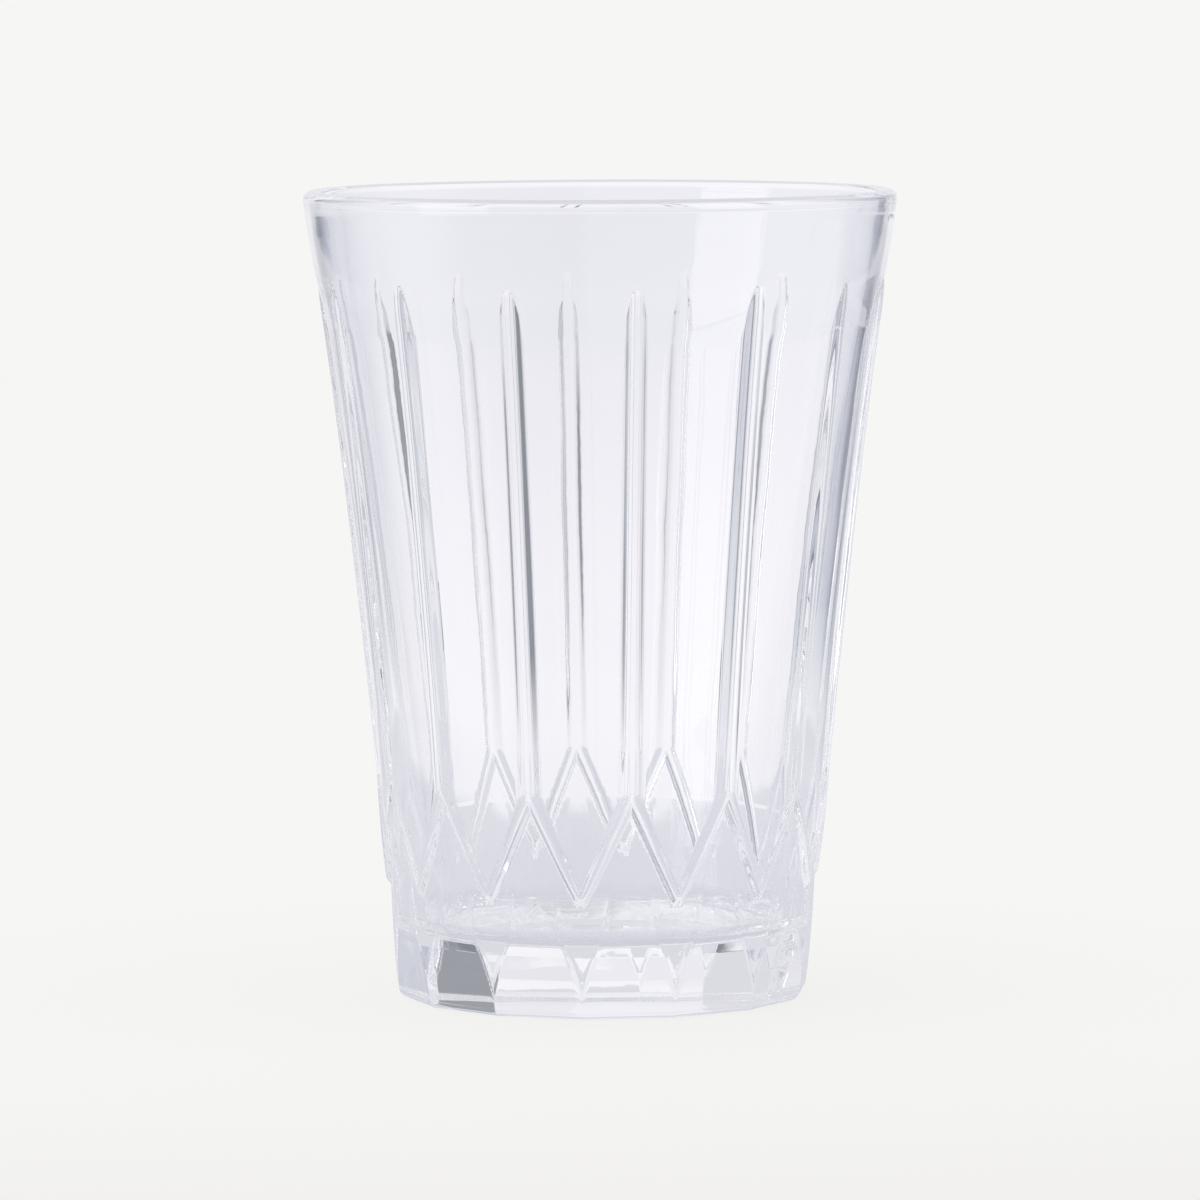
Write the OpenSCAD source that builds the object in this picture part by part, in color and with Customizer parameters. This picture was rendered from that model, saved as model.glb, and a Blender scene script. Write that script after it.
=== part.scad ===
// A pressed juice glass: one piece of clear glass with fourteen raised ribs.
// Each rib ends in a point under the smooth rim band. Lower down it forks into two thin arms,
// which meet the neighbouring arms in a V. Under them the heavy foot has fourteen cut faces.
// The origin is the centre of the circle that the foot stands on, +Z runs up the axis, and
// one rib faces -Y.

/* [Overall size] */
// Height from the table to the top of the rim
height = 103.5; // [95:0.5:112]
// Widest diameter, at the rim
rim_d = 76; // [74:0.5:79]
// Diameter of the foot where its wall line meets the table
foot_d = 53.4; // [52:0.2:55]

/* [Outer wall] */
// Height where the steep foot turns into the leaning wall
bend_z = 28; // [26:0.5:30]
// How far the wall comes out from the table up to that bend
bend_flare = 1.6; // [1.2:0.1:2]
// How far the wall between the bend and the shoulder bows in from a straight line
wall_bow = 0.3; // [0:0.05:0.5]
// Height of the shoulder, where the panels and ribs run out
shoulder_h = 6; // [4:0.5:8]
// How far the wall comes out over the shoulder
shoulder_flare = 1.45; // [1.2:0.05:1.7]
// Height of the smooth rim band over the shoulder
band_h = 11; // [9:0.5:12]
// How far the wall comes out over the rim band
band_flare = 1.55; // [1.2:0.05:1.7]
// Radius of the rounding under the foot's edge
foot_round = 1.6; // [0.8:0.1:2.2]

/* [Cavity] */
// Thickness of the glass under the cavity
base_thickness = 9; // [7:0.5:11]
// Thickness of the wall at the rim, which ends in a half round
rim_wall = 2.3; // [1.8:0.1:2.6]
// Thickness of the plain wall where the shoulder starts
shoulder_wall = 1.85; // [1.6:0.05:2.4]
// Thickness of the plain wall at the bend over the foot
bend_wall = 3; // [2.4:0.1:4]
// How far the cavity's wall between those two bows in from a straight line
cavity_bow = 0.35; // [0:0.05:0.6]
// Radius of the round corner between the cavity's floor and wall
floor_round = 4; // [2:0.5:6]

/* [Ribs] */
// Number of ribs, forks and foot faces
ribs = 14; // [10:1:16]
// How far a rib stands out of the wall at its two ends, less than midway by the bow
rib_rise = 0.7; // [0.4:0.05:0.75]
// Radius of the round bar that a rib is the top of
rib_round = 2.3; // [1.8:0.1:2.6]
// Height where a rib's bar ends and its two arms part
fork_z = 28.4; // [27.5:0.1:30]
// Height where the middle lines of the two arms cross inside the rib
arms_top_z = 30.2; // [29.5:0.1:32]
// Height where the middle lines of neighbouring arms cross, in the V
vee_z = 16.2; // [15:0.1:18]
// Width of an arm across its run
arm_w = 1.4; // [0.8:0.1:1.8]
// How far an arm stands out of the wall beside it
arm_rise = 0.6; // [0.3:0.05:0.65]
// How much of a V's lower tip is cut off square
vee_blunt = 0.7; // [0:0.1:1.2]

/* [Foot] */
// Height where the foot faces run out in a point between the arms
face_top_z = 22.3; // [20:0.1:24]
// Radius of the upright curve of a foot face
face_curve = 290; // [260:10:400]
// How much steeper than the wall a foot face is at its top, in degrees
face_lean = 0.3; // [0.2:0.1:0.8]
// Distance from the foot's wall line in to the hollow under it
hollow_inset = 7.7; // [6:0.1:9]
// Depth of that hollow
hollow_depth = 0.8; // [0.4:0.1:1.2]

/* [Hidden] */
$fn = 128;

// Steps in one round stretch of an outline
arc_steps = 6;
// Flat steps down a foot face
face_steps = 4;
// How far a cutter runs past the surface that it opens
overrun = 2;
glass_colour = [0.86, 0.9, 0.93, 0.45];

pitch = 360 / ribs;
rim_r = rim_d / 2;
rim_round = rim_wall / 2;
rim_centre = [rim_r - rim_round, height - rim_round];
bend_r = foot_d / 2 + bend_flare;
band_z = height - band_h;
band_r = rim_r - band_flare;
panel_top_z = band_z - shoulder_h;
panel_top_r = band_r - shoulder_flare;
foot_slope = bend_flare / bend_z;
foot_tilt = atan(foot_slope);
band_tilt = atan(band_flare / (band_h - rim_round));

// A line from one point to another, bowed in towards the axis at its middle
function bowed(low, high, bow) = [
    for (i = [0:arc_steps])
        let (t = i / arc_steps)
        low + t * (high - low) - [4 * bow * t * (1 - t), 0]
];

// Points of an arc about a centre, from one angle to another
function arc(centre, r, from, to) = [
    for (i = [0:arc_steps])
        let (a = from + (to - from) * i / arc_steps)
        centre + r * [cos(a), sin(a)]
];

// The centre of a round of radius r on a floor, which touches a wall line from its inner side
function corner_centre(line_r, slope, floor_z, r) = [
    line_r + slope * (floor_z + r) - r * sqrt(1 + slope * slope),
    floor_z + r
];

// The plain outer wall from the table up to the rim band, as [radius, height]
wall_line = concat(
    [[foot_d / 2, 0]],
    bowed([bend_r, bend_z], [panel_top_r, panel_top_z], wall_bow),
    [[band_r, band_z]]
);

// The cavity's wall from the bend up to the rim's rounding
cavity_line = concat(
    bowed([bend_r - bend_wall, bend_z], [panel_top_r - shoulder_wall, panel_top_z], cavity_bow),
    [rim_centre - [rim_round, 0]]
);
cavity_slope = (cavity_line[1][0] - cavity_line[0][0]) / (cavity_line[1][1] - cavity_line[0][1]);
cavity_foot_r = cavity_line[0][0] - cavity_slope * bend_z;

// Radius of the plain outer wall at a height
function wall_r(z) = lookup(z, [for (point = wall_line) [point[1], point[0]]]);

module turned(points) {
    rotate_extrude() polygon(points);
}

// The outside of the glass without its relief, as a solid block
module blank() {
    turned(concat(
        [[0, 0]],
        arc(corner_centre(foot_d / 2, foot_slope, 0, foot_round), foot_round, -90, -foot_tilt),
        [for (i = [1:len(wall_line) - 1]) wall_line[i]],
        arc(rim_centre, rim_round, -band_tilt, 90),
        [[0, height]]
    ));
}

// What the glass holds, with the inner half of the rim's rounding at its mouth
module cavity() {
    centre = corner_centre(cavity_foot_r, cavity_slope, base_thickness, floor_round);
    turned(concat(
        [[0, base_thickness]],
        arc(centre, floor_round, -90, -atan(cavity_slope)),
        cavity_line,
        [for (i = [1:arc_steps]) arc(rim_centre, rim_round, 180, 90)[i]],
        [rim_centre + [0, rim_round + overrun], [0, height + overrun]]
    ));
}

// Cuts one foot face: everything outside an upright curve that leaves the wall at the face's
// point and leans in more and more towards the table
module face_cutter() {
    lean = foot_slope + tan(face_lean);
    top = [wall_r(face_top_z), face_top_z];
    reach = top[0] + overrun;
    drop = face_top_z + overrun;
    curve = [
        for (i = [0:face_steps])
            let (down = drop * i / face_steps)
            top - [lean * down + down * down / (2 * face_curve), down]
    ];
    rotate([90, 0, 0])
        linear_extrude(height = 2 * reach * tan(pitch / 2), center = true)
            polygon(concat(
                [[reach, -overrun], [reach, face_top_z + overrun], top + overrun * [lean, 1]],
                curve
            ));
}

// One rib: a bar in the wall, which starts at the fork and sinks into the shoulder
module rib() {
    lean = atan((wall_r(panel_top_z) - wall_r(fork_z)) / (panel_top_z - fork_z));
    translate([wall_r(fork_z) + rib_rise - rib_round, 0, fork_z])
        rotate([0, lean, 0])
            cylinder(r = rib_round, h = (band_z + overrun - fork_z) / cos(lean));
}

// The V of two arms between neighbouring ribs, as a tall block through the wall
module vee() {
    half_gap = (wall_r(arms_top_z) + rib_rise) * tan(pitch / 2);
    climb = (arms_top_z - vee_z) / half_gap;
    thick = arm_w / 2 * sqrt(1 + climb * climb);
    tip = vee_z - thick + vee_blunt;
    tip_w = vee_blunt / climb;
    translate([wall_r(vee_z) / 2, 0, 0])
        rotate([90, 0, 90])
            linear_extrude(height = wall_r(arms_top_z) / 2 + overrun)
                polygon([
                    [-tip_w, tip],
                    [tip_w, tip],
                    [half_gap, arms_top_z - thick],
                    [half_gap, arms_top_z + thick],
                    [0, vee_z + thick],
                    [-half_gap, arms_top_z + thick],
                    [-half_gap, arms_top_z - thick]
                ]);
}

// All arms: the ring of Vs, kept to a skin of even depth over the wall
module arms() {
    low_z = vee_z / 2;
    high_z = arms_top_z + arm_w * 2;
    intersection() {
        turned([
            [0, low_z],
            [wall_r(low_z) + arm_rise, low_z],
            [wall_r(bend_z) + arm_rise, bend_z],
            [wall_r(high_z) + arm_rise, high_z],
            [0, high_z]
        ]);
        around() rotate(pitch / 2) vee();
    }
}

// Repeats its children round the glass, the first one facing -Y
module around() {
    for (i = [0:ribs - 1])
        rotate(i * pitch - 90) children();
}

// The hollow under the foot, as a shallow slice of a large ball
module hollow() {
    hollow_r = foot_d / 2 - hollow_inset;
    ball_r = (hollow_r * hollow_r + hollow_depth * hollow_depth) / (2 * hollow_depth);
    turned(concat(
        [[0, -overrun], [hollow_r, -overrun]],
        arc([0, hollow_depth - ball_r], ball_r, acos(hollow_r / ball_r), 90)
    ));
}

module tumbler() {
    color(glass_colour)
        difference() {
            union() {
                difference() {
                    blank();
                    around() face_cutter();
                }
                around() rib();
                arms();
            }
            cavity();
            hollow();
        }
}

tumbler();
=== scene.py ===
# %% [markdown]
# # A pressed juice glass
# The real thing is one piece of clear glass, pressed hot in a mould by a plunger. The mould gives
# the outside its fourteen ribs, their forks and the cut-looking foot. The plunger leaves the smooth
# inside. This lesson dresses the imported solid of that glass with a finer skin and a studio round it.
# The imported model comes in first.

# %% Open the imported glass
import math

import bpy
import numpy as np
from mathutils import Euler, Matrix


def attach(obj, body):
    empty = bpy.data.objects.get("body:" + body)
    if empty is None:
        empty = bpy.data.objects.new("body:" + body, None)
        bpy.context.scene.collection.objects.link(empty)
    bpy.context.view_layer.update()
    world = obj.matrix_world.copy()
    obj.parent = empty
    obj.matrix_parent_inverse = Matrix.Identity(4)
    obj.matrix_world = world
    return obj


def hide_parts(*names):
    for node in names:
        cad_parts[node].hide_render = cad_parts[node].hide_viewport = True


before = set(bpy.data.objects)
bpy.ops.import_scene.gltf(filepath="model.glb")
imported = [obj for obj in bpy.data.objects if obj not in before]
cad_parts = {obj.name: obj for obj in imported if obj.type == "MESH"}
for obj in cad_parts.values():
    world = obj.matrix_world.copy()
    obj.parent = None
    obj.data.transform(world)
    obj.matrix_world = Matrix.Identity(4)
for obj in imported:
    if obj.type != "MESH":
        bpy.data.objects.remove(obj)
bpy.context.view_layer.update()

MM = 0.001

# %% [markdown]
# ## The camera
# A glass is judged by how its lines bend, so the lens comes before anything else. The photograph
# shows the rim and foot as flat ovals of nearly the same tilt, which means a long lens about a metre
# away and a little above the rim. The camera could be aimed with a constraint, but a plain rotation
# worked out once is easier to follow.

# %% Camera
VIEW_TURN = math.radians(-7.2)
VIEW_DISTANCE = 1.030
VIEW_HEIGHT = 0.140
VIEW_DOWN = math.radians(4.95)
VIEW_LENS_MM = 241.5
VIEW_ASIDE = math.radians(0.0115)
VIEW_ROLL = math.radians(-0.22)

toward_camera = (math.sin(VIEW_TURN), -math.cos(VIEW_TURN))
camera_data = bpy.data.cameras.new("studio_camera")
camera_data.lens = VIEW_LENS_MM
camera_data.sensor_width = 36
camera_data.clip_start = 0.01
camera_data.clip_end = 20
camera = bpy.data.objects.new("studio_camera", camera_data)
camera.location = (
    toward_camera[0] * VIEW_DISTANCE,
    toward_camera[1] * VIEW_DISTANCE,
    VIEW_HEIGHT,
)
aim = Euler((math.pi / 2 - VIEW_DOWN, 0, VIEW_TURN + VIEW_ASIDE)).to_matrix()
camera.rotation_euler = (aim @ Matrix.Rotation(VIEW_ROLL, 3, "Z")).to_euler()
bpy.context.scene.collection.objects.link(camera)
bpy.context.scene.camera = camera
print("camera at", [round(v, 4) for v in camera.location])

# %% [markdown]
# ## The plain wall
# Without its relief the outside is a turned shape: a steep foot, a wall that leans out, a short
# shoulder and the smooth band under the rim. It could be a Screw modifier on a drawn line. Here it is
# a table of marks in millimetres, softened a little at each mark, because molten glass never fills
# a corner quite sharply and because every later function can ask it for a radius.

# %% Softened lines
STEP = 0.05


def softened(marks, soft):
    """A line through (height, radius) marks with its corners eased over `soft` mm each way."""
    marks = np.array(marks, float)
    z = np.arange(marks[0, 0], marks[-1, 0], STEP)
    r = np.interp(z, marks[:, 0], marks[:, 1])
    reach = max(int(soft / STEP), 1)
    ease = np.hanning(2 * reach + 3)[1:-1]
    ease /= ease.sum()
    wide = np.pad(r, reach, mode="reflect", reflect_type="odd")
    return z, np.convolve(wide, ease, "valid")


def at_height(line, z):
    return np.interp(z, line[0], line[1])


# %% Plain wall, rib crest and arm crest
FOOT_R = 26.55
FOOT_SLOPE = 0.048
HEIGHT = 103.5
RIM_ROUND = 1.15
RIM_CENTRE_R = 36.82
BAND_SLOPE = 0.13
RIM_CENTRE_Z = HEIGHT - RIM_ROUND
band_tilt = math.atan(BAND_SLOPE)
band_end = (
    RIM_CENTRE_Z - RIM_ROUND * math.sin(band_tilt),
    RIM_CENTRE_R + RIM_ROUND * math.cos(band_tilt),
)

wall = softened(
    [
        (-8, 25.45),
        (21.0, 27.99),
        (27.5, 28.56),
        (32.6, 28.97),
        (37.8, 29.40),
        (48.1, 30.40),
        (58.4, 31.51),
        (68.7, 32.71),
        (79.0, 33.97),
        (86.0, 34.92),
        (89.5, 35.66),
        (92.5, 36.42),
        (95.5, 36.98),
        (98.5, 37.49),
        (band_end[0], band_end[1]),
        (112, band_end[1] + BAND_SLOPE * (112 - band_end[0])),
    ],
    1.6,
)
foot_wall = softened(
    [
        (-8, FOOT_R - 8 * FOOT_SLOPE),
        (16, FOOT_R + 16 * FOOT_SLOPE),
        (24, 27.95),
        (30, 28.55),
        (112, 36.0),
    ],
    1.6,
)
rib_crest = softened(
    [
        (20, 28.44),
        (27.5, 29.10),
        (32.6, 29.60),
        (37.8, 30.12),
        (48.1, 31.20),
        (58.4, 32.34),
        (68.7, 33.52),
        (79.0, 34.80),
        (86.5, 35.84),
        (89.4, 36.26),
        (91.8, 36.42),
        (94.0, 36.20),
        (112, 34.0),
    ],
    1.0,
)
print("plain wall at 28, 60 and 92 mm:", [round(float(at_height(wall, z)), 2) for z in (28, 60, 92)])

# %% [markdown]
# ## The relief
# The relief is what makes this glass: fourteen round bars, each forking into two thin arms, and a
# flat face under every fork. It could be modelled with booleans and bevels, but glass shows each
# crooked polygon, and booleans leave many. Here the outside is one formula, radius for angle and
# height, in which each form is a height over the wall and forms meet through a soft maximum or
# minimum. That gives the melted joins of pressed glass, and exact normals. The foot lies back a
# little under the Vs, with the step hidden in the arms, so the glass's outline steps in there.

# %% Soft joins
RIBS = 14
PITCH = 2 * math.pi / RIBS


def soft_max(a, b, ease):
    gap = np.maximum(ease - np.abs(a - b), 0) / ease
    return np.maximum(a, b) + ease * gap * gap / 4


def soft_min(a, b, ease):
    return -soft_max(-a, -b, ease)


# %% Ribs
RIB_HALF = 1.70
RIB_RISE = 0.83
SHOULDER_Z = 84.0
FORK_Z = 27.9
FORK_TAPER = 1.6
FLANK_POWER = 1.4
PAST_FLANK = 0.5


def fall(share):
    """How far an S-shaped flank has come down: 0 on the crest, 1 at the wall, more beyond it."""
    bent = share**FLANK_POWER
    flank = (1 - np.cos(np.pi * np.minimum(bent, 1))) / 2
    return np.where(bent < 1, flank, 1 + PAST_FLANK * (bent - 1))


def rib_share(side, z):
    """How far out on a rib's flank a place is, `side` mm from its middle. It ends at the fork."""
    return (np.abs(side) + FORK_TAPER * np.maximum(FORK_Z - z, 0)) / RIB_HALF


# %% Arms
ARM_HALF = 1.1
ARM_NARROW = 0.015
VEE_Z = 15.6
VEE_ROUND = 0.35
ARM_CLIMB = 2.14
arm_rise = softened([(10, 0.45), (16, 0.50), (22, 0.52), (30, 0.56), (40, 0.60)], 1.5)


def over_vee(from_middle, z):
    """How far a place lies over the V's middle line, measured square to the line."""
    bowl = np.sqrt(from_middle**2 + VEE_ROUND**2)
    over = z - (VEE_Z + ARM_CLIMB * (bowl - VEE_ROUND))
    return over / np.sqrt(1 + (ARM_CLIMB * from_middle / bowl) ** 2)


def arm_share(from_middle, z):
    """How far out on an arm's flank a place is, `from_middle` mm from the panel's middle."""
    return np.abs(over_vee(from_middle, z)) / (ARM_HALF - ARM_NARROW * np.maximum(FORK_Z - z, 0))


# %% Panels over the Vs, foot under them
STEP_HALF = 0.4


def plain_wall(from_middle, z):
    """The wall without its relief. Under the Vs it lies back, with the step hidden in the arms."""
    share = np.clip((over_vee(from_middle, z) / STEP_HALF + 1) / 2, 0, 1)
    share = share * share * (3 - 2 * share)
    return at_height(foot_wall, z) * (1 - share) + at_height(wall, z) * share


# %% Ribs and arms in one
SHARE_JOIN = 0.2
LEAST_RISE = 0.01
FORK_BLEND = (26.5, 30.0)


def relief(side, from_middle, z):
    """Radius of the raised pattern. The nearer of rib and arm rules, so a rib's flank runs on as
    the outer flank of its arms."""
    share = soft_min(rib_share(side, z), arm_share(from_middle, z), SHARE_JOIN)
    upper = np.clip((z - FORK_BLEND[0]) / (FORK_BLEND[1] - FORK_BLEND[0]), 0, 1)
    arm_crest = at_height(wall, z) + at_height(arm_rise, z)
    crest = arm_crest * (1 - upper) + at_height(rib_crest, z) * upper
    rise = crest - plain_wall(from_middle, z)
    rise = np.where(z > SHOULDER_Z, np.maximum(rise, RIB_RISE), rise) + LEAST_RISE
    return crest - rise * fall(np.maximum(share, 0))


# %% Foot faces
LEAF_TOP_Z = 22.9
LEAF_LEAN = 0.0165
KNEE_Z = 10.5
KNEE_EASE = 0.04
FACE_LEAN = 0.068


def face_depth(z):
    """How deep a face is cut into the wall at its middle: a shallow leaf, a steeper face below."""
    leaf = LEAF_LEAN * (LEAF_TOP_Z - z)
    face = LEAF_LEAN * (LEAF_TOP_Z - KNEE_Z) + FACE_LEAN * (KNEE_Z - z)
    return soft_max(leaf, face, KNEE_EASE)


def foot_face(turn, z):
    """Radius of the flat faces under a fork, `turn` radians from their middle."""
    return (at_height(foot_wall, z) - face_depth(z)) / np.cos(turn)


EDGE_BEAD = 0.05
BEAD_HALF = 0.3
BEAD_FULL_DEPTH = 0.2


def edge_bead(turn, z):
    """The thin bead that fire polishing leaves along the edges of a foot face."""
    depth = np.maximum(face_depth(z), 0)
    plain = at_height(foot_wall, z)
    away = turn * plain - np.sqrt(2 * plain * depth)
    grown = np.minimum(depth / BEAD_FULL_DEPTH, 1)
    return EDGE_BEAD * grown * np.exp(-((away / BEAD_HALF) ** 2))


# %% The whole outside
RIB_JOIN = 0.05
FACE_JOIN = 0.04
FACE_LIFT = 10


def outside(turn, z):
    """Radius of the outside, `turn` radians from the nearest rib's middle, at a height in mm.
    Over the Vs a foot face is lifted out of reach, so that it cuts only under them."""
    turn = np.abs(turn)
    round_r = at_height(wall, z)
    side = turn * round_r
    middle = (PITCH / 2 - turn) * round_r
    face = foot_face(turn, z) + FACE_LIFT * np.maximum(over_vee(middle, z), 0)
    shape = soft_min(plain_wall(middle, z), face, FACE_JOIN) + edge_bead(turn, z)
    return soft_max(shape, relief(side, middle, z), RIB_JOIN)


print("rib crest and panel at 60 mm:", [round(float(outside(t, 60.0)), 2) for t in (0, PITCH / 2)])

# %% [markdown]
# ## Where the mesh needs its points
# A grid of even squares would waste points on the plain panels and starve the fine arms. Remeshing or
# a subdivision surface would round them off. So each row of the mesh puts its columns close together
# where the outline bends most at that height, and the columns follow the ribs and arms by themselves.

# %% Rows up the outside
HALF_COLUMNS = 22
FOOT_ROUND = 1.0
FINE_STEP = 0.01
row_spacing = np.array(
    [
        (FOOT_ROUND, 0.40),
        (5, 0.75),
        (12, 0.75),
        (13.5, 0.36),
        (18, 0.36),
        (24, 0.50),
        (27, 0.42),
        (31, 0.50),
        (34, 1.6),
        (42, 2.4),
        (78, 2.4),
        (84, 1.2),
        (87, 0.50),
        (93, 0.48),
        (96, 1.1),
        (100, 1.1),
        (band_end[0], 0.5),
    ]
)
fine_z = np.arange(FOOT_ROUND, band_end[0], FINE_STEP)
rows_passed = np.cumsum(FINE_STEP / np.interp(fine_z, row_spacing[:, 0], row_spacing[:, 1]))
row_count = int(rows_passed[-1])
wall_rows = np.interp(np.linspace(rows_passed[0], rows_passed[-1], row_count), rows_passed, fine_z)
wall_rows[0], wall_rows[-1] = FOOT_ROUND, band_end[0]
print("rows up the outside:", row_count)

# %% Columns across half a pitch
FINE_TURNS = 900
BEND_EASE = 30
BEND_PULL = 3.2
MIDDLE_R = 30
fine_turn = np.linspace(0, PITCH / 2, FINE_TURNS)


def crowded(z):
    """Turns from a rib's middle to the panel's middle, closer together where the outline bends."""
    r = outside(fine_turn, z)
    across = fine_turn * float(at_height(wall, z))
    slope = np.gradient(r, across)
    bend = np.abs(np.gradient(np.arctan(slope), across))
    ease = np.hanning(2 * BEND_EASE + 1)
    bend = np.convolve(np.pad(bend, BEND_EASE, mode="reflect"), ease / ease.sum(), "valid")
    weight = 1.0 + BEND_PULL * np.sqrt(bend)
    passed = np.concatenate([[0], np.cumsum((weight[1:] + weight[:-1]) / 2)])
    return np.interp(np.linspace(0, passed[-1], HALF_COLUMNS + 1), passed, fine_turn)


turns = np.array([crowded(z) for z in wall_rows])
for _ in range(3):
    turns[1:-1] = (turns[:-2] + 2 * turns[1:-1] + turns[2:]) / 4
widths = np.diff(turns) * MIDDLE_R
print("widest and narrowest column in mm:", round(float(widths.max()), 3), round(float(widths.min()), 3))


def all_round(half):
    """Turns and angles of a whole ring from the turns of half a pitch. The first rib faces -Y."""
    sector = np.concatenate([-half[-2:0:-1], half])
    turn = np.tile(sector, RIBS)
    angle = np.concatenate([sector + k * PITCH for k in range(RIBS)]) - math.pi / 2
    return turn, angle


# %% [markdown]
# ## Skin of the glass
# One closed mesh is the only honest form for glass, because light bends as it enters and again as it
# leaves. Its rings run from the middle of the underside, out to the foot, up the ribs, over the
# rounded rim and down into the smooth inside to the middle of the floor. The normals are worked out
# from the formula and handed to the mesh, so the bends in the light follow the true curve.

# %% Ring builder
points, normals, faces = [], [], []


def add_ring(r, z, angle, tilt_r, tilt_z, swing=0.0):
    """Adds a ring. tilt_r and tilt_z are the normal's outward and upward parts, swing its part
    along the ring. Returns the numbers of its points."""
    first = sum(len(p) for p in points)
    given = (r, z, tilt_r, tilt_z, swing)
    r, z, tilt_r, tilt_z, swing = (np.broadcast_to(v, angle.shape) for v in given)
    c, s = np.cos(angle), np.sin(angle)
    points.append(np.stack([r * c, r * s, z], 1))
    normal = np.stack([tilt_r * c - swing * s, tilt_r * s + swing * c, tilt_z], 1)
    normals.append(normal / np.linalg.norm(normal, axis=1)[:, None])
    return np.arange(first, first + len(angle))


def join_rings(low, high):
    """Joins two rings of the same count with squares, facing out when the path turns outward."""
    nxt_low, nxt_high = np.roll(low, -1), np.roll(high, -1)
    faces.extend(np.stack([low, nxt_low, nxt_high, high], 1).tolist())


def join_four_to_one(fine, coarse, fine_first):
    """Joins a fine ring to one with a quarter of its points."""
    f = [np.roll(fine, -k)[::4] for k in range(5)]
    a, b = coarse, np.roll(coarse, -1)
    triangles = [(f[0], f[1], a), (f[1], f[2], a), (f[2], b, a), (f[2], f[3], b), (f[3], f[4], b)]
    for one, two, three in triangles:
        order = [one, two, three] if fine_first else [three, two, one]
        faces.extend(np.stack(order, 1).tolist())


def join_to_middle(ring, middle, turned_over=False):
    """Closes a ring with triangles to the one point in its middle."""
    for a, b in zip(ring.tolist(), np.roll(ring, -1).tolist()):
        faces.append([b, a, int(middle[0])] if turned_over else [a, b, int(middle[0])])


# %% Outer rows with their true normals
NUDGE = 0.01


def outer_slopes(turn, z):
    """How the outside's radius changes along the ring, per mm, and up the wall, per mm."""
    r = outside(turn, z)
    small = NUDGE / r
    along = (outside(turn + small, z) - outside(turn - small, z)) / (2 * NUDGE)
    up = (outside(turn, z + NUDGE) - outside(turn, z - NUDGE)) / (2 * NUDGE)
    return r, along, up


rings = []
bottom_turn, bottom_angle = all_round(turns[0])
ROUND_ROWS = 8
for step in range(ROUND_ROWS):
    lift = math.pi / 2 * (1 - step / ROUND_ROWS)
    z = FOOT_ROUND * (1 - math.sin(lift))
    r, along, up = outer_slopes(bottom_turn, z)
    rings.append(add_ring(
        r - FOOT_ROUND * (1 - math.cos(lift)), z, bottom_angle,
        math.cos(lift), -math.sin(lift) - FOOT_SLOPE * math.cos(lift), -along * math.cos(lift),
    ))
for half, z in zip(turns, wall_rows):
    turn, angle = all_round(half)
    r, along, up = outer_slopes(turn, z)
    rings.append(add_ring(r, z, angle, 1, -up, -along))
top_angle = angle
print("outer rings:", len(rings), "of", len(top_angle), "points")

# %% The rounded rim
RIM_ROWS = 16
for step in range(1, RIM_ROWS + 1):
    a = -band_tilt + (math.pi + band_tilt) * step / RIM_ROWS
    c, s = math.cos(a), math.sin(a)
    rings.append(add_ring(RIM_CENTRE_R + RIM_ROUND * c, RIM_CENTRE_Z + RIM_ROUND * s, top_angle, c, s))
for low, high in zip(rings[:-1], rings[1:]):
    join_rings(low, high)
print("outer rings with the rim:", len(rings))

# %% [markdown]
# ## The inside
# The plunger that pressed the glass was polished and round, so the inside has no relief. It narrows
# to a slightly dished floor with a soft corner, and the glass under it is thick and heavy. It is the
# same kind of turned line, now with the normals pointing at the axis.

# %% Inside wall and floor
FLOOR_Z = 8.2
FLOOR_DISH = 0.8
FLOOR_ROUND = 2.5
INNER_ROWS = 34
CORNER_ROWS = 8
inside = softened(
    [
        (-8, 21.55),
        (28, 25.50),
        (37.8, 26.60),
        (48.1, 27.78),
        (58.4, 29.05),
        (68.7, 30.48),
        (79.0, 31.98),
        (86.5, 33.15),
        (RIM_CENTRE_Z, RIM_CENTRE_R - RIM_ROUND),
        (112, RIM_CENTRE_R - RIM_ROUND + 1.5),
    ],
    3.0,
)
inner_slope = float(at_height(inside, 14) - at_height(inside, 12)) / 2
corner_z = FLOOR_Z + FLOOR_DISH + FLOOR_ROUND
corner_r = float(at_height(inside, corner_z)) - FLOOR_ROUND * math.sqrt(1 + inner_slope**2)
coarse_angle = top_angle[::4]
coarse_rings = []
for z in np.linspace(RIM_CENTRE_Z - 2, corner_z + 1, INNER_ROWS):
    slope = float(at_height(inside, z + 0.5) - at_height(inside, z - 0.5))
    coarse_rings.append(add_ring(float(at_height(inside, z)), z, coarse_angle, -1, slope))
wall_lean = math.atan(inner_slope)
dish_lean = math.atan(2 * FLOOR_DISH / corner_r)
for step in range(CORNER_ROWS + 1):
    a = -wall_lean - (math.pi / 2 - wall_lean - dish_lean) * step / CORNER_ROWS
    c, s = math.cos(a), math.sin(a)
    coarse_rings.append(
        add_ring(corner_r + FLOOR_ROUND * c, corner_z + FLOOR_ROUND * s, coarse_angle, -c, -s)
    )
for share in (0.95, 0.85, 0.75, 0.65, 0.55, 0.45, 0.35, 0.25, 0.15, 0.07):
    dish_z = FLOOR_Z + FLOOR_DISH * share**2
    coarse_rings.append(add_ring(corner_r * share, dish_z, coarse_angle, -dish_lean * share, 1))
join_four_to_one(rings[-1], coarse_rings[0], True)
for low, high in zip(coarse_rings[:-1], coarse_rings[1:]):
    join_rings(low, high)
floor_middle = add_ring(0.0, FLOOR_Z, np.zeros(1), 0, 1)
join_to_middle(coarse_rings[-1], floor_middle)
print("inside rings:", len(coarse_rings), "floor radius", round(corner_r, 2))

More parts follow.
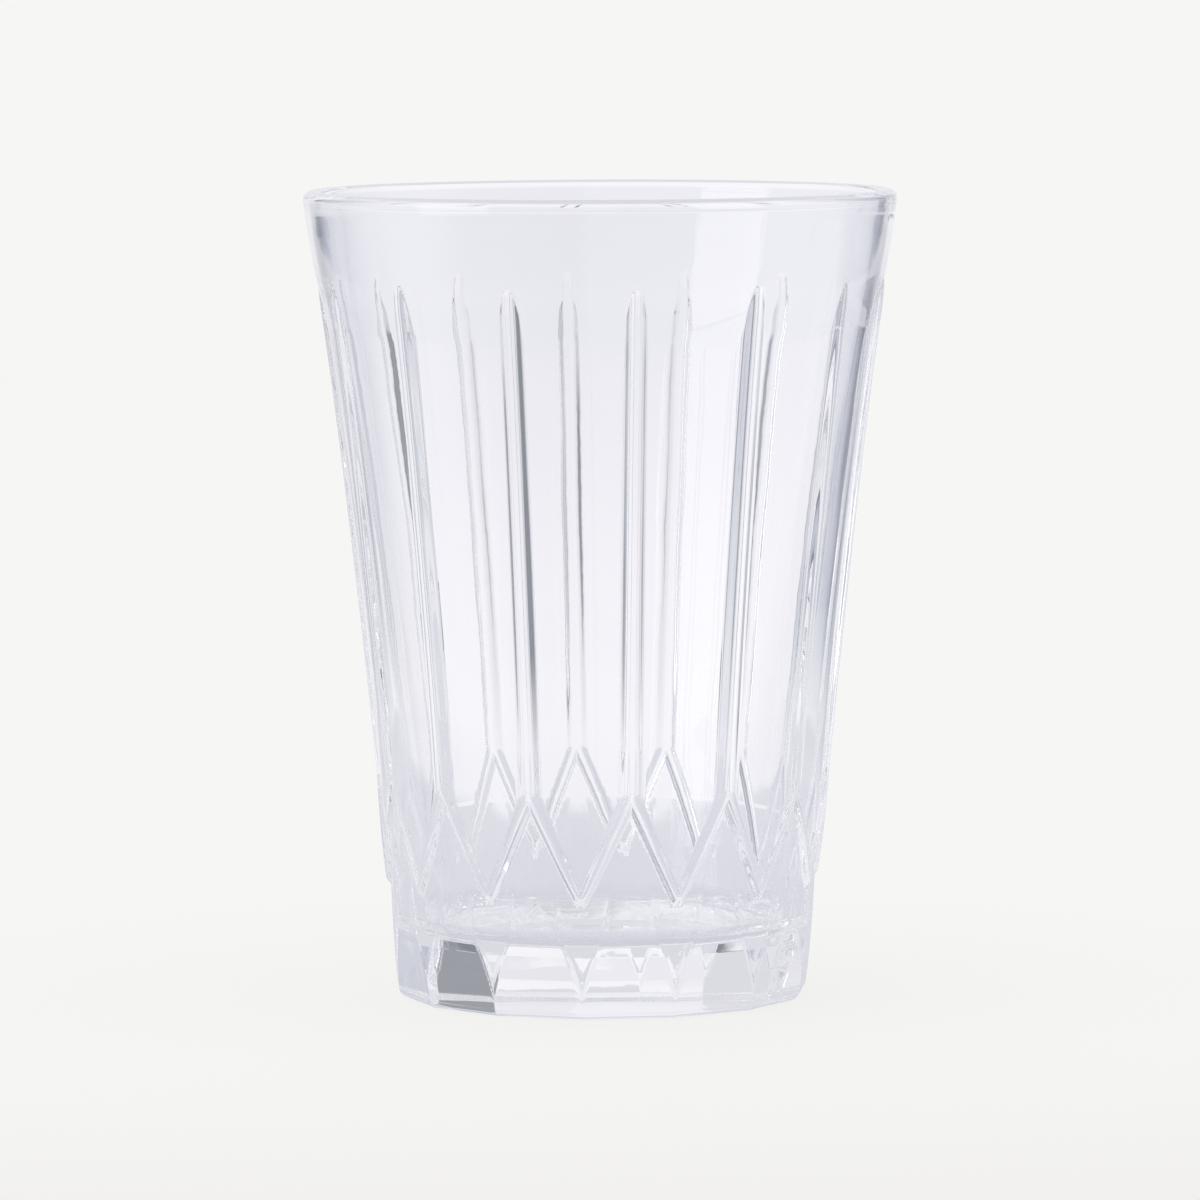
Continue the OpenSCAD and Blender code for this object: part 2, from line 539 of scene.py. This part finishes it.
# %% [markdown]
# ## The underside
# A pressed tumbler doesn't stand on a flat disc, which would rock. It stands on a ring, with a shallow
# hollow inside it. The ring's outer edge follows the fourteen foot faces, its inner edge is round.

# %% Standing ring and hollow
HOLLOW_R = 19.0
HOLLOW_DEPTH = 0.8
HOLLOW_EASE = 1.25
EDGE = 0.8
foot_angle = bottom_angle[::4]
outline = np.linalg.norm(points[0][:, :2], axis=1)[::4]
under_rings = []
for share in (0.3, 0.65, 1.0):
    r = outline * (1 - share) + (HOLLOW_R + EDGE) * share
    under_rings.append(add_ring(r, 0.0, foot_angle, 0, -1))


def hollow(r):
    """Height of the hollow over the table, eased into the ring."""
    return HOLLOW_DEPTH * np.maximum(1 - (r / (HOLLOW_R + EDGE)) ** 2, 0) ** HOLLOW_EASE


for r in (19.3, 18.7, 17.8, 16, 13.5, 10.5, 7, 3.5):
    slope = float(hollow(r + 0.05) - hollow(r - 0.05)) / 0.1
    under_rings.append(add_ring(r, float(hollow(r)), foot_angle, slope, -1))
under_middle = add_ring(0.0, HOLLOW_DEPTH, np.zeros(1), 0, -1)
join_four_to_one(rings[0], under_rings[0], False)
for low, high in zip(under_rings[:-1], under_rings[1:]):
    join_rings(high, low)
join_to_middle(under_rings[-1], under_middle, turned_over=True)
print("underside rings:", len(under_rings))

# %% Make the mesh
co = np.concatenate(points) * MM
glass_mesh = bpy.data.meshes.new("pressed_glass")
glass_mesh.from_pydata(co.tolist(), [], faces)
glass_mesh.polygons.foreach_set("use_smooth", [True] * len(glass_mesh.polygons))
glass_mesh.normals_split_custom_set_from_vertices(np.concatenate(normals).tolist())
glass_mesh.update()
pressed_glass = bpy.data.objects.new("pressed_glass", glass_mesh)
bpy.context.scene.collection.objects.link(pressed_glass)
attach(pressed_glass, "root")
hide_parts("tumbler")
triangles = sum(len(p.vertices) - 2 for p in glass_mesh.polygons)
print("skin:", len(glass_mesh.vertices), "points,", triangles, "triangles")

# %% [markdown]
# ## Clear glass
# Soda-lime glass has almost no colour of its own. What is seen is the room, bent. The Principled
# shader with full transmission does that. A glass pressed in iron moulds is never quite true, so a
# slow waviness and a finer ripple are mixed in a node group and pushed through a Bump node. The waves
# are stronger near the floor, where the hot glass touches the mould first.

# %% Node helpers
def socket_in(tree, name, kind, default, low=None, high=None):
    socket = tree.interface.new_socket(name=name, in_out="INPUT", socket_type=kind)
    socket.default_value = default
    if low is not None:
        socket.min_value, socket.max_value = low, high
    return socket


def node(tree, kind, label, **values):
    made = tree.nodes.new(kind)
    made.label = label
    for key, value in values.items():
        setattr(made, key, value)
    return made


def ramp(tree, label, stops, factor, interpolation="EASE"):
    """A colour that passes through (place, colour) stops while the factor goes from 0 to 1."""
    made = node(tree, "ShaderNodeValToRGB", label)
    made.color_ramp.interpolation = interpolation
    elements = made.color_ramp.elements
    while len(elements) < len(stops):
        elements.new(0.5)
    for element, (place, colour) in zip(elements, stops):
        element.position = place
        element.color = colour
    tree.links.new(factor, made.inputs["Fac"])
    return made.outputs["Color"]


def map_range(tree, label, value, start, end, at_start=0.0, at_end=1.0):
    """Goes from at_start to at_end while the value put in goes from start to end."""
    made = node(tree, "ShaderNodeMapRange", label)
    made.inputs["From Min"].default_value = start
    made.inputs["From Max"].default_value = end
    made.inputs["To Min"].default_value = at_start
    made.inputs["To Max"].default_value = at_end
    tree.links.new(value, made.inputs["Value"])
    return made.outputs["Result"]


# %% Pressed waviness, a node group
CHILL_TOP = 24.0
CHILL_BY_HEIGHT = [(5.0, 0), (8.0, 1), (15.0, 1), (22.0, 0)]
waves = bpy.data.node_groups.new("pressed waviness", "ShaderNodeTree")
socket_in(waves, "Slow size mm", "NodeSocketFloat", 14.0, 1, 60)
socket_in(waves, "Fine size mm", "NodeSocketFloat", 2.5, 0.2, 20)
socket_in(waves, "Fine share", "NodeSocketFloat", 0.035, 0, 1)
socket_in(waves, "Chill", "NodeSocketFloat", 4.0, 0, 20)
waves.interface.new_socket(name="Height", in_out="OUTPUT", socket_type="NodeSocketFloat")
w_in = node(waves, "NodeGroupInput", "values in")
w_out = node(waves, "NodeGroupOutput", "height out")
w_place = node(waves, "ShaderNodeTexCoord", "place on the glass")


def wave_layer(size_name, stretch, detail):
    """One layer of noise whose grain size is read from the group's input, in mm."""
    scale = node(waves, "ShaderNodeMath", "grains per metre", operation="DIVIDE")
    scale.inputs[0].default_value = 1000
    waves.links.new(w_in.outputs[size_name], scale.inputs[1])
    squash = node(waves, "ShaderNodeMapping", "stretched up the wall")
    squash.inputs["Scale"].default_value = (1, 1, stretch)
    waves.links.new(w_place.outputs["Object"], squash.inputs["Vector"])
    noise = node(waves, "ShaderNodeTexNoise", size_name)
    noise.inputs["Detail"].default_value = detail
    waves.links.new(squash.outputs["Vector"], noise.inputs["Vector"])
    waves.links.new(scale.outputs[0], noise.inputs["Scale"])
    return noise.outputs["Fac"]


w_mix = node(waves, "ShaderNodeMix", "slow and fine", data_type="FLOAT")
waves.links.new(w_in.outputs["Fine share"], w_mix.inputs["Factor"])
waves.links.new(wave_layer("Slow size mm", 0.6, 1.0), w_mix.inputs["A"])
waves.links.new(wave_layer("Fine size mm", 0.8, 2.0), w_mix.inputs["B"])
w_parts = node(waves, "ShaderNodeSeparateXYZ", "height up the glass")
waves.links.new(w_place.outputs["Object"], w_parts.inputs[0])
w_share = node(waves, "ShaderNodeMath", "share of the chilled stretch", operation="MULTIPLY")
w_share.inputs[1].default_value = 1 / (CHILL_TOP * MM)
waves.links.new(w_parts.outputs["Z"], w_share.inputs[0])
chilled = ramp(
    waves,
    "where the glass chilled first",
    [(height_mm / CHILL_TOP, (share, share, share, 1)) for height_mm, share in CHILL_BY_HEIGHT],
    w_share.outputs[0],
    "LINEAR",
)
w_more = node(waves, "ShaderNodeMath", "stronger there", operation="MULTIPLY_ADD")
waves.links.new(chilled, w_more.inputs[0])
waves.links.new(w_in.outputs["Chill"], w_more.inputs[1])
w_more.inputs[2].default_value = 1
w_final = node(waves, "ShaderNodeMath", "height", operation="MULTIPLY")
waves.links.new(w_mix.outputs["Result"], w_final.inputs[0])
waves.links.new(w_more.outputs[0], w_final.inputs[1])
waves.links.new(w_final.outputs[0], w_out.inputs["Height"])
print("pressed waviness:", len(waves.nodes), "nodes")

# %% The glass material
WAVE_DEPTH = 0.0001
clear = bpy.data.materials.new("clear pressed glass")
clear.use_nodes = True
tree = clear.node_tree
tree.nodes.clear()
out = node(tree, "ShaderNodeOutputMaterial", "surface")
shader = node(tree, "ShaderNodeBsdfPrincipled", "glass")
shader.inputs["Base Color"].default_value = (0.992, 0.993, 1.0, 1)
shader.inputs["Metallic"].default_value = 0
shader.inputs["Roughness"].default_value = 0.0
shader.inputs["IOR"].default_value = 1.51
shader.inputs["Transmission Weight"].default_value = 1
wave = node(tree, "ShaderNodeGroup", "pressed waviness", node_tree=waves)
bump = node(tree, "ShaderNodeBump", "waviness as bump")
bump.inputs["Strength"].default_value = 1.0
bump.inputs["Distance"].default_value = WAVE_DEPTH
tree.links.new(wave.outputs["Height"], bump.inputs["Height"])
tree.links.new(bump.outputs["Normal"], shader.inputs["Normal"])
tree.links.new(shader.outputs["BSDF"], out.inputs["Surface"])
glass_mesh.materials.append(clear)
print("glass material:", len(tree.nodes), "nodes")

# %% [markdown]
# ## The studio
# Clear glass shows only what stands round it. Behind it is a white sweep, on each side of that a
# narrow dark gap, then a grey wall, a bright stretch straight to the side, and a dim wall behind the
# camera. The dark gaps draw the lines of the ribs. A real set would be built of panels, but they would
# hide the glass from other sides, so the room is painted by direction into the world, lighter on the
# left. Rays through the ribs mostly end on the table, so the table glows with painted light, the same
# way and by distance too, with a painted shadow of the glass close round it. The camera itself sees
# plain paper, with painted shade making it a little darker in front.

# %% Paper colours and greys
PAPER = (0.921, 0.921, 0.905, 1)
# The darker paper in front is painted shade.
PAPER_FRONT_SHADE = (0.884, 0.876, 0.859, 1)


def grey(level, cool=0.0):
    """A grey, slightly cool where asked: less red, more blue."""
    return (level * (1 - cool), level * (1 - cool * 0.6), level * (1 + cool * 0.3), 1)


# %% Light round the room, a node group
around = bpy.data.node_groups.new("light round the room", "ShaderNodeTree")
around.interface.new_socket(name="Direction", in_out="INPUT", socket_type="NodeSocketVector")
around.interface.new_socket(name="Color", in_out="OUTPUT", socket_type="NodeSocketColor")
a_in = node(around, "NodeGroupInput", "direction in")
a_out = node(around, "NodeGroupOutput", "light out")
turned = node(around, "ShaderNodeMapping", "turned to the camera")
turned.inputs["Rotation"].default_value = (0, 0, -VIEW_TURN)
around.links.new(a_in.outputs["Direction"], turned.inputs["Vector"])
parts = node(around, "ShaderNodeSeparateXYZ", "right, away, up")
around.links.new(turned.outputs["Vector"], parts.inputs[0])
azimuth = node(around, "ShaderNodeMath", "angle from straight behind", operation="ARCTAN2")
around.links.new(parts.outputs["X"], azimuth.inputs[0])
around.links.new(parts.outputs["Y"], azimuth.inputs[1])
absolute = node(around, "ShaderNodeMath", "either side", operation="ABSOLUTE")
around.links.new(azimuth.outputs[0], absolute.inputs[0])
half_turn = node(around, "ShaderNodeMath", "0 behind, 1 at the camera", operation="DIVIDE")
half_turn.inputs[1].default_value = math.pi
around.links.new(absolute.outputs[0], half_turn.inputs[0])
side_light = ramp(
    around,
    "white sweep, its edge, side walls",
    [
        (0.000, grey(1.0)),
        (0.050, grey(1.0)),
        (0.075, grey(0.93)),
        (0.136, grey(0.84)),
        (0.149, grey(0.45, 0.12)),
        (0.159, grey(0.19, 0.14)),
        (0.177, grey(0.19, 0.14)),
        (0.194, grey(0.42, 0.14)),
        (0.215, grey(0.60, 0.12)),
        (0.370, grey(0.66, 0.10)),
        (0.420, grey(0.92)),
        (0.580, grey(0.95)),
        (0.700, grey(0.60)),
        (1.000, grey(0.45)),
    ],
    half_turn.outputs[0],
)
around.links.new(side_light, a_out.inputs["Color"])
print("light round the room:", len(around.nodes), "nodes")

# %% World
HORIZON = (0.855, 0.855, 0.900, 1)
SIDES_ON_LEFT = 0.20
SIDES_ON_RIGHT = 0.78
SIDES_BLEND = 0.05
world = bpy.data.worlds.new("studio room")
bpy.context.scene.world = world
world.use_nodes = True
room = world.node_tree
room.nodes.clear()
direction = node(room, "ShaderNodeTexCoord", "direction of the ray")
sides = node(room, "ShaderNodeGroup", "light round the room", node_tree=around)
room.links.new(direction.outputs["Generated"], sides.inputs["Direction"])
height_of = node(room, "ShaderNodeSeparateXYZ", "how far right and up")
room.links.new(direction.outputs["Generated"], height_of.inputs[0])
upward = ramp(
    room,
    "up the sweep",
    [
        (0.00, HORIZON),
        (0.08, (0.865, 0.865, 0.910, 1)),
        (0.30, (0.900, 0.900, 0.940, 1)),
        (1.00, (0.910, 0.910, 0.940, 1)),
    ],
    height_of.outputs["Z"],
)
both = node(room, "ShaderNodeMix", "round and up", data_type="RGBA", blend_type="MULTIPLY")
left_or_right = map_range(
    room,
    "the left side is lighter",
    height_of.outputs["X"],
    -SIDES_BLEND,
    SIDES_BLEND,
    SIDES_ON_LEFT,
    SIDES_ON_RIGHT,
)
room.links.new(left_or_right, both.inputs["Factor"])
room.links.new(upward, both.inputs["A"])
room.links.new(sides.outputs["Color"], both.inputs["B"])
paths = node(room, "ShaderNodeLightPath", "which ray asks")
pick = node(room, "ShaderNodeMix", "paper for the camera", data_type="RGBA")
pick.inputs["B"].default_value = PAPER
room.links.new(paths.outputs["Is Camera Ray"], pick.inputs["Factor"])
room.links.new(both.outputs["Result"], pick.inputs["A"])
background = node(room, "ShaderNodeBackground", "room light")
background.inputs["Strength"].default_value = 1
room.links.new(pick.outputs["Result"], background.inputs["Color"])
room_out = node(room, "ShaderNodeOutputWorld", "world")
room.links.new(background.outputs[0], room_out.inputs["Surface"])
print("world:", len(room.nodes), "nodes")

# %% Table top
FLOOR_R = 3.0
FLOOR_DROP = 0.0002
FLOOR_CORNERS = 96
floor_mesh = bpy.data.meshes.new("table")
corner_turns = [2 * math.pi * k / FLOOR_CORNERS for k in range(FLOOR_CORNERS)]
ring = [(FLOOR_R * math.cos(a), FLOOR_R * math.sin(a), -FLOOR_DROP) for a in corner_turns]
floor_mesh.from_pydata(ring, [], [list(range(FLOOR_CORNERS))])
table = bpy.data.objects.new("table", floor_mesh)
bpy.context.scene.collection.objects.link(table)
print("table top:", FLOOR_R, "m in radius")

# %% Distances on the table
paper = bpy.data.materials.new("white table")
paper.use_nodes = True
tree = paper.node_tree
tree.nodes.clear()
place = node(tree, "ShaderNodeTexCoord", "place on the table")
reach = node(tree, "ShaderNodeVectorMath", "distance from the glass", operation="LENGTH")
tree.links.new(place.outputs["Object"], reach.inputs[0])


def by_distance(label, near, far, at_near, at_far):
    """A value that changes with the distance from the glass, in metres."""
    return map_range(tree, label, reach.outputs["Value"], near, far, at_near, at_far)


# %% Light on the table, for rays through the glass
flat_share = by_distance("distance over the table's reach", 0, FLOOR_R, 0, 1)
root = node(tree, "ShaderNodeMath", "crowded near the glass", operation="SQRT")
tree.links.new(flat_share, root.inputs[0])
# Painted light and painted shadow: for rays through the glass the table glows with these colours, darker
# within about 0.17 m as a painted shadow of the glass, brightest a little beyond it.
LIGHT_BY_DISTANCE = [
    (0.000, (0.60, 0.60, 0.67)),
    (0.035, (0.66, 0.665, 0.735)),
    (0.060, (0.69, 0.695, 0.755)),
    (0.120, (0.710, 0.718, 0.775)),
    (0.166, (0.735, 0.742, 0.795)),
    (0.180, (0.940, 0.935, 0.970)),
    (0.280, (0.965, 0.960, 0.990)),
    (0.450, (0.940, 0.935, 0.972)),
    (0.850, (0.892, 0.888, 0.930)),
    (1.300, (0.860, 0.860, 0.905)),
    (3.000, HORIZON[:3]),
]
lit = ramp(
    tree,
    "light on the table round the glass",
    [(math.sqrt(away / FLOOR_R), (*colour, 1)) for away, colour in LIGHT_BY_DISTANCE],
    root.outputs[0],
)
sides = node(tree, "ShaderNodeGroup", "light round the room", node_tree=around)
tree.links.new(place.outputs["Object"], sides.inputs["Direction"])
lit_round = node(
    tree, "ShaderNodeMix", "light round and by distance", data_type="RGBA", blend_type="MULTIPLY"
)
near_fade = by_distance("no sides under the glass", 0.14, 0.32, 0, 1)
far_fade = by_distance("softer sides far off", 0.9, 1.2, 0.95, 0.35)
fade = node(tree, "ShaderNodeMath", "how much the sides count", operation="MULTIPLY")
tree.links.new(near_fade, fade.inputs[0])
tree.links.new(far_fade, fade.inputs[1])
tree.links.new(fade.outputs[0], lit_round.inputs["Factor"])
tree.links.new(lit, lit_round.inputs["A"])
tree.links.new(sides.outputs["Color"], lit_round.inputs["B"])

# %% The table as the camera sees it
# Painted shade: the paper the camera sees is mixed towards a darker colour in front, where the light
# falls off.
FRONT_STARTS_Y = -0.05
FRONT_ENDS_Y = -0.17
place_parts = node(tree, "ShaderNodeSeparateXYZ", "right, back, up")
tree.links.new(place.outputs["Object"], place_parts.inputs[0])
frontward = map_range(
    tree, "towards the front", place_parts.outputs["Y"], FRONT_STARTS_Y, FRONT_ENDS_Y
)
seen = node(tree, "ShaderNodeMix", "a little darker in front", data_type="RGBA")
seen.inputs["A"].default_value = PAPER
seen.inputs["B"].default_value = PAPER_FRONT_SHADE
tree.links.new(frontward, seen.inputs["Factor"])
paths = node(tree, "ShaderNodeLightPath", "which ray asks")
pick = node(tree, "ShaderNodeMix", "paper for the camera", data_type="RGBA")
tree.links.new(seen.outputs["Result"], pick.inputs["B"])
tree.links.new(paths.outputs["Is Camera Ray"], pick.inputs["Factor"])
tree.links.new(lit_round.outputs["Result"], pick.inputs["A"])

# %% Paper that glows and takes a little shadow
# The glow is painted light on the table; only the small matt share near the glass takes a real shadow.
glow = node(tree, "ShaderNodeEmission", "lit paper")
tree.links.new(pick.outputs["Result"], glow.inputs["Color"])
matt = node(tree, "ShaderNodeBsdfDiffuse", "paper that takes shadow")
matt.inputs["Color"].default_value = (0.9, 0.9, 0.9, 1)
blend = node(tree, "ShaderNodeMixShader", "glow and matt")
tree.links.new(by_distance("shadow fades out", 0.03, 0.11, 0.09, 0), blend.inputs["Fac"])
tree.links.new(glow.outputs[0], blend.inputs[1])
tree.links.new(matt.outputs[0], blend.inputs[2])
surface = node(tree, "ShaderNodeOutputMaterial", "surface")
tree.links.new(blend.outputs[0], surface.inputs["Surface"])
floor_mesh.materials.append(paper)
print("table material:", len(tree.nodes), "nodes")

# %% Soft box to the left of the camera
LAMP_AIM_Z = 0.05


def soft_box(name, azimuth_deg, elevation_deg, distance, width, height, watts):
    """An area lamp aimed at the glass, at an angle from the camera's side, + to the right."""
    lamp_data = bpy.data.lights.new(name, "AREA")
    lamp_data.shape = "RECTANGLE"
    lamp_data.size = width
    lamp_data.size_y = height
    lamp_data.energy = watts
    lamp = bpy.data.objects.new(name, lamp_data)
    a, e = math.radians(azimuth_deg) + VIEW_TURN, math.radians(elevation_deg)
    lamp.location = (
        math.sin(a) * math.cos(e) * distance,
        -math.cos(a) * math.cos(e) * distance,
        LAMP_AIM_Z + math.sin(e) * distance,
    )
    lamp.rotation_euler = (math.pi / 2 - e, 0, a)
    lamp.visible_camera = False
    bpy.context.scene.collection.objects.link(lamp)
    return lamp


left_box = soft_box(
    "left_soft_box", azimuth_deg=-60, elevation_deg=12, distance=1.4, width=0.8, height=1.2, watts=3.0
)
print("soft box at", [round(v, 2) for v in left_box.location])

# %% [markdown]
# ## How long a ray is followed
# Light that gets caught in a thick rib goes to and fro inside the wall many times before it finds a
# way out. Blender gives up after four reflections and leaves the spot black, which reads as paint on
# the glass. The limits are raised here, so that such a ray gets out and brings back the room's grey.

# %% Ray limits
RAY_LIMIT = 64
rays = bpy.context.scene.cycles
rays.max_bounces = RAY_LIMIT
rays.glossy_bounces = RAY_LIMIT
rays.transmission_bounces = RAY_LIMIT
print("bounces allowed:", rays.max_bounces)

# %% [markdown]
# ## Look settings
# The picture is shown without a film curve, so that white paper stays white.

# %% Look settings
bpy.context.scene.view_settings.view_transform = "Standard"
